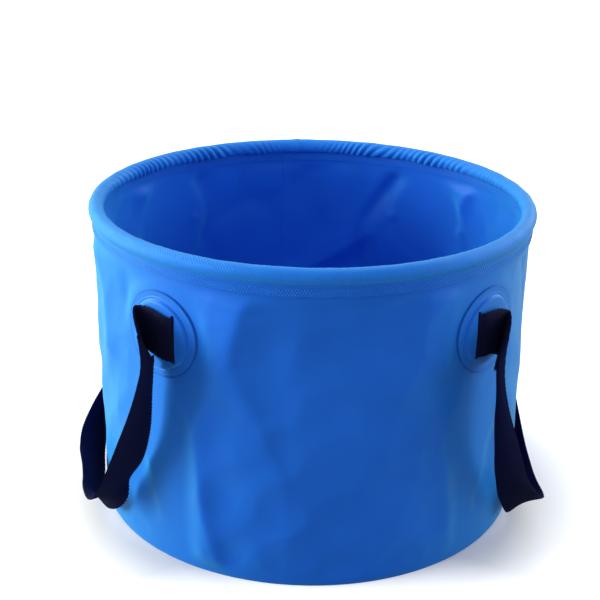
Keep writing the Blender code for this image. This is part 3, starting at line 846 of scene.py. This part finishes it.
def stud_rings_tree():
    """Rings of low studs that a weld die leaves, as a node tree with its sizes as inputs."""
    inputs = (("Studs per ring", "Int", 100), ("Rings", "Int", 2), ("Ring radius", "Float", 0.1),
              ("First height", "Float", 0.0), ("Ring reach", "Float", 0.0), ("Ring rise", "Float", 0.0),
              ("Stud size", "Vector", (0.001, 0.001, 0.001)), ("Finish", "Material", None))
    tree, given, result = new_group("stud_rings", "GeometryNodeTree", inputs, (("Geometry", "Geometry"),))
    index = tree.nodes.new("GeometryNodeInputIndex").outputs[0]
    per_ring = given["Studs per ring"]
    ring = math_node(tree, "FLOOR", math_node(tree, "DIVIDE", index, per_ring))
    along = math_node(tree, "ADD", index, math_node(tree, "MULTIPLY", ring, 0.5))
    angle = math_node(tree, "MULTIPLY", along, math_node(tree, "DIVIDE", 2 * pi, per_ring))
    radius = math_node(tree, "MULTIPLY_ADD", ring, given["Ring reach"], given["Ring radius"])
    height = math_node(tree, "MULTIPLY_ADD", ring, given["Ring rise"], given["First height"])
    right = math_node(tree, "MULTIPLY", radius, math_node(tree, "SINE", angle))
    behind = math_node(tree, "MULTIPLY", radius, math_node(tree, "COSINE", angle))
    back = math_node(tree, "MULTIPLY", behind, -1.0)
    middle = add_node(tree, "ShaderNodeCombineXYZ", {"X": right, "Y": back, "Z": height})
    count = math_node(tree, "MULTIPLY", per_ring, given["Rings"])
    points = add_node(tree, "GeometryNodePoints", {"Count": count, "Position": middle.outputs[0]})
    facing = add_node(tree, "ShaderNodeCombineXYZ", {"Z": angle})
    ball = {"Segments": STUD_SEGMENTS, "Rings": STUD_ROWS, "Radius": 1.0}
    stud = add_node(tree, "GeometryNodeMeshUVSphere", ball)
    placed = add_node(tree, "GeometryNodeInstanceOnPoints", {
        "Points": points.outputs[0], "Instance": stud.outputs["Mesh"],
        "Rotation": facing.outputs[0], "Scale": given["Stud size"]})
    real = add_node(tree, "GeometryNodeRealizeInstances", {0: placed.outputs[0]}).outputs[0]
    finish = add_node(tree, "GeometryNodeSetMaterial", {"Geometry": real, "Material": given["Finish"]})
    feed(result[0], finish.outputs[0])
    return tree


def stud_mesh(tree, **sizes):
    """The mesh that the tree makes for these sizes, named with _ for each space."""
    holder = new_object("studs", bpy.data.meshes.new("studs"))
    modifier = holder.modifiers.new("studs", "NODES")
    modifier.node_group = tree
    for item in tree.interface.items_tree:
        key = item.name.replace(" ", "_")
        if key in sizes:
            modifier[item.identifier] = sizes[key]
    return evaluated_mesh(holder)


# Webbing

def strap_end():
    """Middle points of a strap's end: flat in the pocket, then out of the slit and back over its edge."""
    turn_middle = WEBBING_SEAT + TURN_RADIUS
    tail = TAIL_LENGTH / TAIL_STEPS
    stations = [(-SLIT_SETBACK + tail * (TAIL_STEPS - i), WEBBING_SEAT) for i in range(TAIL_STEPS)]
    for i in range(TURN_STEPS + 1):
        turn = pi * i / TURN_STEPS
        stations.append((-SLIT_SETBACK - TURN_RADIUS * sin(turn), turn_middle - TURN_RADIUS * cos(turn)))
    return [(PATCH_ANGLE + along / WALL_RADIUS, out) for along, out in stations]


def edge_direction(angle, lean, turn):
    """Unit vector from the webbing's middle to its upper edge."""
    flat = outwards(angle) * cos(turn) + backwards(angle) * sin(turn)
    return Vector((0.0, 0.0, 1.0)) * cos(lean) + flat * sin(lean)


def blended(first, last, begin, end, t):
    """Where a point is at time t, on its even way from the first place at begin to the last at end."""
    to_end, from_begin = (end - t) / (end - begin), (t - begin) / (end - begin)
    return tuple(a * to_end + b * from_begin for a, b in zip(first, last))


def smooth_run(values, steps):
    """A smooth curve through points of any size, by chordal Catmull-Rom pieces."""
    def reach(a, b):
        return max((a[0] - b[0]).length, SHEET) ** 0.5

    ahead, beyond = (tuple(2 * a - b for a, b in zip(values[i], values[j])) for i, j in ((0, 1), (-1, -2)))
    points = [ahead] + list(values) + [beyond]
    run = []
    for p0, p1, p2, p3 in zip(points, points[1:], points[2:], points[3:]):
        t1 = reach(p1, p0)
        t2 = t1 + reach(p2, p1)
        t3 = t2 + reach(p3, p2)
        for i in range(steps):
            t = t1 + (t2 - t1) * i / steps
            middle = blended(p1, p2, t1, t2, t)
            before = blended(blended(p0, p1, 0.0, t1, t), middle, 0.0, t2, t)
            after = blended(middle, blended(p2, p3, t2, t3, t), t1, t3, t)
            run.append(blended(before, after, t1, t2, t))
    run.append(values[-1])
    return run


def unit(vectors):
    return vectors / np.linalg.norm(vectors, axis=1, keepdims=True)


def eased(vectors):
    """Directions with their quick changes spread over a few steps either way."""
    weights = np.hanning(EASING_STEPS + 2)[1:-1]
    weights = weights / weights.sum()
    padded = np.pad(vectors, ((EASING_STEPS // 2, EASING_STEPS // 2), (0, 0)), mode="edge")
    return np.stack([np.convolve(padded[:, k], weights, "valid") for k in range(3)], axis=1)


def strap_run(route, side):
    """Even steps along a strap: middle points, upper-edge directions and the distance from its end.

    The upper edges are turned square to the run before they are eased. The run itself isn't eased,
    because its turn at the slit is tighter than the easing.
    """
    upright = Vector((0.0, 0.0, 1.0))
    front = [(place(WALL_RADIUS + out, angle, PATCH_HEIGHT), upright) for angle, out in strap_end()]
    rear = [(place(WALL_RADIUS + out, pi - angle, PATCH_HEIGHT), upright) for angle, out in strap_end()]
    loop = []
    for around, out, height, lean, turn in route:
        angle = radians(around)
        middle = place(WALL_RADIUS + out * MM, angle, PATCH_HEIGHT + height * MM)
        loop.append((middle, edge_direction(angle, radians(lean), radians(turn))))
    curved = smooth_run([front[-1]] + loop + [rear[-1]], ROUTE_STEPS)
    stations = front[:-1] + curved + rear[-2::-1]
    middles = np.array([tuple(middle) for middle, upper in stations])
    uppers = np.array([tuple(upper) for middle, upper in stations])
    reach = run_length(middles)
    even = np.linspace(0.0, reach[-1], int(reach[-1] / PICK_PITCH * STEPS_PER_PICK))
    middles, uppers = (np.stack([np.interp(even, reach, values[:, k]) for k in range(3)], axis=1)
                       for values in (middles, uppers))
    along = unit(np.gradient(middles, axis=0))
    uppers = unit(eased(uppers - along * np.sum(uppers * along, axis=1, keepdims=True)))
    return middles * (side, 1, 1), uppers * (side, 1, 1), even


def strap_mesh(name, middles, uppers, reach):
    """A woven band swept along its run: picks across its faces, scalloped selvedges and capped ends."""
    along = unit(np.gradient(middles, axis=0))
    face = unit(np.cross(along, uppers))
    share = np.linspace(-1.0, 1.0, WEBBING_POINTS_ACROSS)
    share = np.sin(share * pi / 2) * POINTS_CROWDING + share * (1 - POINTS_CROWDING)
    beside = np.abs(share)[None, :]
    picks = reach[:, None] * 2 * pi / PICK_PITCH
    scallop = SELVEDGE_SCALLOP * (np.cos(picks) - 1) / 2
    half_width = WEBBING_WIDTH / 2 + scallop * beside ** SCALLOP_POWER
    body = WEBBING_THICKNESS / 2 * (1 - EDGE_THINNING * beside ** EDGE_POWER)
    selvedge = smooth(*SELVEDGE_EDGES, beside)
    relief = PICK_RISE * np.cos(picks + pi * selvedge) * (1 - PICK_THINNING * beside ** EDGE_POWER)
    edge_points = middles[:, None, :] + uppers[:, None, :] * (half_width * share[None, :])[:, :, None]
    upper_face = edge_points + face[:, None, :] * (body + relief - PICK_RISE)[:, :, None]
    lower_face = edge_points - face[:, None, :] * (body - relief - PICK_RISE)[:, :, None]
    points = there_and_back(upper_face, lower_face).transpose(1, 0, 2)
    across = np.concatenate(((share + 1) / 2 * WEBBING_WIDTH, (3 + share) / 2 * WEBBING_WIDTH))
    return surface_mesh(name, points, across, reach, (tuple(middles[0]), tuple(middles[-1])))


def build_strap(name, route, side):
    """The loop of a strap, and its two ends that stay in the pockets, as two pieces."""
    middles, uppers, reach = strap_run(route, side)
    tail_end = TAIL_LENGTH - TAIL_HIDDEN_LAP / 2
    loop_start = tail_end - TAIL_HIDDEN_LAP
    on_loop = (reach > loop_start) & (reach < reach[-1] - loop_start)
    loop = finished(name + "_loop", strap_mesh(name, middles[on_loop], uppers[on_loop], reach[on_loop]))
    ends = bmesh.new()
    for on_tail in (reach < tail_end, reach > reach[-1] - tail_end):
        tail = strap_mesh(name, middles[on_tail], uppers[on_tail], reach[on_tail])
        ends.from_mesh(tail)
        bpy.data.meshes.remove(tail)
    return loop, finished(name + "_ends", mesh_of(name + "_ends", ends))


# Materials

def rib_group():
    """Fine ridges that run across a surface at a slant; its vector is in metres."""
    inputs = (("Vector", "Vector", None), ("Pitch", "Float", 0.001), ("Slope", "Float", 0.0))
    tree, given, result = new_group("slanted_ribs", "ShaderNodeTree", inputs, (("Height", "Float"),))
    parts = add_node(tree, "ShaderNodeSeparateXYZ", {0: given["Vector"]}).outputs
    shifted = math_node(tree, "MULTIPLY_ADD", parts["Y"], given["Slope"], parts["X"])
    phase = math_node(tree, "DIVIDE", math_node(tree, "MULTIPLY", shifted, 2 * pi), given["Pitch"])
    wave = math_node(tree, "SINE", phase)
    feed(result["Height"], math_node(tree, "MULTIPLY_ADD", wave, 0.5, 0.5))
    return tree


def mottle_group():
    """Soft uneven patches of tone, and a finer grain."""
    inputs = (("Vector", "Vector", None), ("Patch scale", "Float", 20.0), ("Grain scale", "Float", 900.0))
    outputs = (("Patches", "Float"), ("Grain", "Float"))
    tree, given, result = new_group("uneven_tone", "ShaderNodeTree", inputs, outputs)
    for scale, detail, name in (("Patch scale", 3.0, "Patches"), ("Grain scale", 2.0, "Grain")):
        fed = {"Vector": given["Vector"], "Scale": given[scale], "Detail": detail}
        feed(result[name], add_node(tree, "ShaderNodeTexNoise", fed).outputs["Fac"])
    return tree


def placed_group(tree, group, vector, **values):
    """What a shared group gives in this material, for its own values, named with _ for each space."""
    fed = {name.replace("_", " "): value for name, value in values.items()}
    return add_node(tree, "ShaderNodeGroup", {"Vector": vector, **fed}, node_tree=group).outputs


def new_material(name, roughness):
    made = bpy.data.materials.new(name)
    made.use_nodes = True
    shader = made.node_tree.nodes["Principled BSDF"]
    feed_all(shader, {"Metallic": 0.0, "Roughness": roughness, "Specular IOR Level": SPECULAR_LEVEL})
    return made, made.node_tree, shader


def ranged(tree, value, low, high, new_low=0.0, new_high=1.0):
    """The value moved from one range to another."""
    fed = {"Value": value, "From Min": low, "From Max": high, "To Min": new_low, "To Max": new_high}
    return add_node(tree, "ShaderNodeMapRange", fed).outputs["Result"]


def two_tone(tree, share, first, second):
    """A mix of two tones, each written as a colour or taken from another node."""
    first, second = ((*tone, 1.0) if isinstance(tone, tuple) else tone for tone in (first, second))
    return add_node(tree, "ShaderNodeMix", {0: share, 6: first, 7: second}, data_type="RGBA").outputs[2]


def scaled(colour, share):
    return tuple(min(value * share, 1.0) for value in colour)


def uneven(tree, share, colour, tones):
    """A colour that moves between two shares of itself."""
    return two_tone(tree, share, scaled(colour, tones[0]), scaled(colour, tones[1]))


def bumped(tree, shader, height, distance):
    bump = add_node(tree, "ShaderNodeBump", {"Height": height, "Distance": distance, "Strength": 1.0})
    feed(shader.inputs["Normal"], bump.outputs["Normal"])


def uv_vector(tree):
    return add_node(tree, "ShaderNodeUVMap", uv_map="surface").outputs["UV"]


def object_vector(tree):
    return tree.nodes.new("ShaderNodeTexCoord").outputs["Object"]


def one_part(tree, vector, axis):
    return add_node(tree, "ShaderNodeSeparateXYZ", {0: vector}).outputs[axis]


def coated_fabric(name, groups, roughness, rib_depth, colour=COATED_BLUE, ribs=COATING_RIBS,
                  edge_shadow=False, hems=False):
    """PVC-coated cloth: an even colour with soft unevenness, its woven base showing through, and a painted
    sheen that turns the cloth lighter and greener at a glancing view. A patch has painted shade in a dark
    line round its edge, and the sleeve's hems are painted darker than its tube, as painted shade under the
    tube."""
    made, tree, shader = new_material(name, roughness)
    tone = placed_group(tree, groups["tone"], object_vector(tree), Patch_scale=14.0, Grain_scale=1400.0)
    cloth = uneven(tree, ranged(tree, tone["Patches"], 0.3, 0.7), colour, CLOTH_TONES)
    # Painted shade: the hems darker than the tube above them
    if hems:
        tube = ranged(tree, one_part(tree, object_vector(tree), "Z"), *HEM_TO_TUBE)
        cloth = two_tone(tree, tube, scaled(COATED_BLUE, HEM_SHADE_SHARE), cloth)
    # Painted sheen: the colour turns lighter and greener towards a glancing view
    edge = add_node(tree, "ShaderNodeLayerWeight", {"Blend": 0.5})
    shown = two_tone(tree, ranged(tree, edge.outputs["Facing"], *PAINTED_SHEEN_FACING), cloth, PAINTED_SHEEN_BLUE)
    # Painted shade: a dark line just inside the patch's edge
    if edge_shadow:
        inwards = one_part(tree, uv_vector(tree), "Y")
        begun = ranged(tree, inwards, *EDGE_SHADOW_BEGINS)
        ended = ranged(tree, inwards, *EDGE_SHADOW_ENDS, 1.0, 0.0)
        line = math_node(tree, "MULTIPLY", begun, ended)
        shown = two_tone(tree, line, shown, scaled(colour, EDGE_SHADOW_SHARE))
    worn = ranged(tree, tone["Patches"], 0.35, 0.65, roughness - 0.04, roughness + 0.05)
    feed_all(shader, {"Base Color": shown, "Roughness": worn, "Specular Tint": (*GLOSS_TINT, 1.0)})
    pitch, slope = ribs
    warp = placed_group(tree, groups["ribs"], uv_vector(tree), Pitch=pitch, Slope=slope)
    weft = placed_group(tree, groups["ribs"], uv_vector(tree), Pitch=pitch, Slope=-slope - WEFT_LEAN)
    woven = math_node(tree, "MULTIPLY_ADD", weft["Height"], WEFT_SHARE, warp["Height"])
    bumped(tree, shader, math_node(tree, "MULTIPLY_ADD", tone["Grain"], 0.5, woven), rib_depth)
    return made


def webbing_material(groups):
    """Tight navy weave: a fine slanted twill and short fibres."""
    made, tree, shader = new_material("navy_webbing", 0.82)
    tone = placed_group(tree, groups["tone"], object_vector(tree), Patch_scale=60.0, Grain_scale=2600.0)
    twill = placed_group(tree, groups["ribs"], uv_vector(tree), Pitch=TWILL_PITCH, Slope=TWILL_SLOPE)
    share = math_node(tree, "MULTIPLY", twill["Height"], tone["Grain"])
    colours = uneven(tree, ranged(tree, share, 0.1, 0.6), WEBBING_NAVY, WEBBING_TONES)
    feed_all(shader, {"Base Color": colours, "Specular IOR Level": WEBBING_SPECULAR_LEVEL,
                      "Sheen Weight": 0.03, "Sheen Roughness": 0.5, "Sheen Tint": (*WEBBING_SHEEN, 1.0)})
    bumped(tree, shader, math_node(tree, "ADD", twill["Height"], tone["Grain"]), 0.12 * MM)
    return made


def plain_plastic(name, colour, groups, roughness):
    """Smooth moulded or extruded plastic with faint haze."""
    made, tree, shader = new_material(name, roughness)
    tone = placed_group(tree, groups["tone"], object_vector(tree), Patch_scale=40.0, Grain_scale=600.0)
    colours = uneven(tree, ranged(tree, tone["Patches"], 0.3, 0.7), colour, PLASTIC_TONES)
    haze = ranged(tree, tone["Grain"], 0.3, 0.7, roughness - 0.04, roughness + 0.06)
    feed_all(shader, {"Base Color": colours, "Roughness": haze})
    bumped(tree, shader, tone["Grain"], 0.02 * MM)
    return made


def make_materials():
    groups = {"ribs": rib_group(), "tone": mottle_group()}
    return {
        "wall": coated_fabric("coated_blue", groups, 0.42, 0.012 * MM),
        "floor": coated_fabric("floor_blue", groups, 0.40, 0.015 * MM),
        "patch": coated_fabric("patch_blue", groups, 0.38, 0.012 * MM, edge_shadow=True),
        "sleeve": coated_fabric("sleeve_blue", groups, 0.42, 0.15 * MM, SLEEVE_BLUE, SLEEVE_RIBS,
                                hems=True),
        "studs": coated_fabric("welded_blue", groups, 0.28, 0.01 * MM),
        "webbing": webbing_material(groups),
        "hoop": plain_plastic("hoop_tube_plastic", HOOP_WHITE, groups, 0.42),
        "joiner": plain_plastic("joiner_plastic", JOINER_GREY, groups, 0.50),
    }


def paint(made, material):
    made.data.materials.clear()
    made.data.materials.append(material)


# Studio

def floor_material():
    """White sweep: plain white to the camera apart from the bucket's shadow, a dull grey to the bucket."""
    made = bpy.data.materials.new("studio_white")
    made.use_nodes = True
    tree = made.node_tree
    tree.nodes.clear()
    to_camera = tree.nodes.new("ShaderNodeLightPath").outputs["Is Camera Ray"]
    where = object_vector(tree)
    tone = two_tone(tree, to_camera, FLOOR_BOUNCE, FLOOR_WHITE)
    diffuse = add_node(tree, "ShaderNodeBsdfDiffuse", {"Color": tone})
    away = add_node(tree, "ShaderNodeVectorMath", {0: where}, operation="LENGTH").outputs["Value"]
    far = ranged(tree, away, *GLOW_RADII, *FLOOR_GLOW)
    front = ranged(tree, one_part(tree, where, "Y"), *GLOW_FRONT, *FLOOR_GLOW)
    fade = math_node(tree, "MAXIMUM", far, front)
    glow = add_node(tree, "ShaderNodeEmission", {"Strength": math_node(tree, "MULTIPLY", to_camera, fade)})
    both = add_node(tree, "ShaderNodeAddShader", {0: diffuse.outputs[0], 1: glow.outputs[0]})
    add_node(tree, "ShaderNodeOutputMaterial", {"Surface": both.outputs[0]})
    return made


def build_world():
    """A pale world that lights the bucket, and plain white where the camera sees it."""
    world = bpy.data.worlds.new("studio")
    world.use_nodes = True
    bpy.context.scene.world = world
    tree = world.node_tree
    rays = tree.nodes.new("ShaderNodeLightPath").outputs
    seen = math_node(tree, "MAXIMUM", rays["Is Camera Ray"], rays["Is Transmission Ray"])
    colour = two_tone(tree, seen, WORLD_TINT, WHITE)
    strength = math_node(tree, "MULTIPLY_ADD", seen, 1.0 - WORLD_LIGHT, WORLD_LIGHT)
    feed_all(tree.nodes["Background"], {"Color": colour, "Strength": strength})


def build_studio():
    bpy.ops.mesh.primitive_plane_add(size=STUDIO_SIZE, location=(0.0, 0.0, 0.0))
    floor = bpy.context.active_object
    floor.name = "studio_floor"
    paint(floor, floor_material())
    build_world()
    for name, where, size, power, tint in SOFTBOXES:
        lamp = bpy.data.lights.new(name, "AREA")
        lamp.color = tint
        lamp.shape = "RECTANGLE"
        lamp.size, lamp.size_y = size
        lamp.energy = power
        made = new_object(name, lamp)
        made.location = where
        made.rotation_euler = (LAMP_AIM - Vector(where)).to_track_quat("-Z", "Y").to_euler()


def build_camera():
    lens = bpy.data.cameras.new("camera")
    lens.lens = CAMERA_LENS
    lens.sensor_width = CAMERA_SENSOR
    lens.sensor_fit = "HORIZONTAL"
    camera = new_object("camera", lens)
    backward = CAMERA_RIGHT.cross(CAMERA_UP)
    turn = Matrix((CAMERA_RIGHT, CAMERA_UP, backward)).transposed()
    camera.matrix_world = Matrix.Translation(CAMERA_PLACE) @ turn.to_4x4()
    bpy.context.scene.camera = camera


# The whole bucket

def dress_wall(materials):
    wall = build_wall()
    paint(wall, materials["wall"])
    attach(wall, "rim")
    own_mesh(wall)
    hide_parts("wall")


def dress_floor(materials):
    floor = build_floor()
    paint(floor, materials["floor"])
    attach(floor, "base")
    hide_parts("floor_disc")


def dress_rim(materials, tree):
    sleeve = build_sleeve()
    paint(sleeve, materials["sleeve"])
    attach(sleeve, "rim")
    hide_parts("rim_sleeve")
    outer_face = WALL_RADIUS + CLEARANCE + SHEET
    inner_face = WALL_RADIUS - SHEET - CLEARANCE - SHEET
    for name, radius in (("outer_hem_weld", outer_face), ("inner_hem_weld", inner_face)):
        mesh = stud_mesh(tree, Studs_per_ring=HEM_STUDS, Rings=HEM_STUD_RINGS, Ring_radius=radius,
                         First_height=HEM_FOOT + HEM_STUD_FOOT, Ring_rise=HEM_STUD_PITCH, Ring_reach=0.0,
                         Stud_size=HEM_STUD_SIZE, Finish=materials["studs"])
        studs = finished(name, mesh, pi)
        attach(studs, "rim")
    for node, material in (("rim_hoop", "hoop"), ("hoop_joiner", "joiner")):
        paint(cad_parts[node], materials[material])


def dress_patches(materials, tree):
    flat = cut_patch()
    studs = stud_mesh(tree, Studs_per_ring=PATCH_STUDS, Rings=PATCH_STUD_RINGS,
                      Ring_radius=WELD_BEAD_RADIUS + PATCH_STUD_GAP, First_height=CLEARANCE + SHEET,
                      Ring_reach=PATCH_STUD_PITCH, Ring_rise=0.0, Stud_size=PATCH_STUD_SIZE,
                      Finish=materials["patch"])
    for end, rear in (("front", False), ("rear", True)):
        for side_name, side in (("left", -1), ("right", 1)):
            node = f"{end}_{side_name}_patch"
            patch = build_patch(node + "_fabric", flat, studs, side, rear)
            paint(patch, materials["patch"])
            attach(patch, "handle_mounts")
            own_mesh(patch)
            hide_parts(node)
    bpy.data.meshes.remove(flat)
    bpy.data.meshes.remove(studs)


def dress_straps(materials):
    for side_name, side, route in (("left", -1, LEFT_ROUTE), ("right", 1, RIGHT_ROUTE)):
        loop, ends = build_strap(f"{side_name}_webbing", route, side)
        for piece in (loop, ends):
            paint(piece, materials["webbing"])
            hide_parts(f"{side_name}_strap")
        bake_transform(loop)
        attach(ends, "handle_mounts")


def build_scene():
    bpy.context.scene.view_settings.view_transform = "Standard"
    materials = make_materials()
    tree = stud_rings_tree()
    build_studio()
    build_camera()
    dress_wall(materials)
    dress_floor(materials)
    dress_rim(materials, tree)
    dress_patches(materials, tree)
    dress_straps(materials)


build_scene()
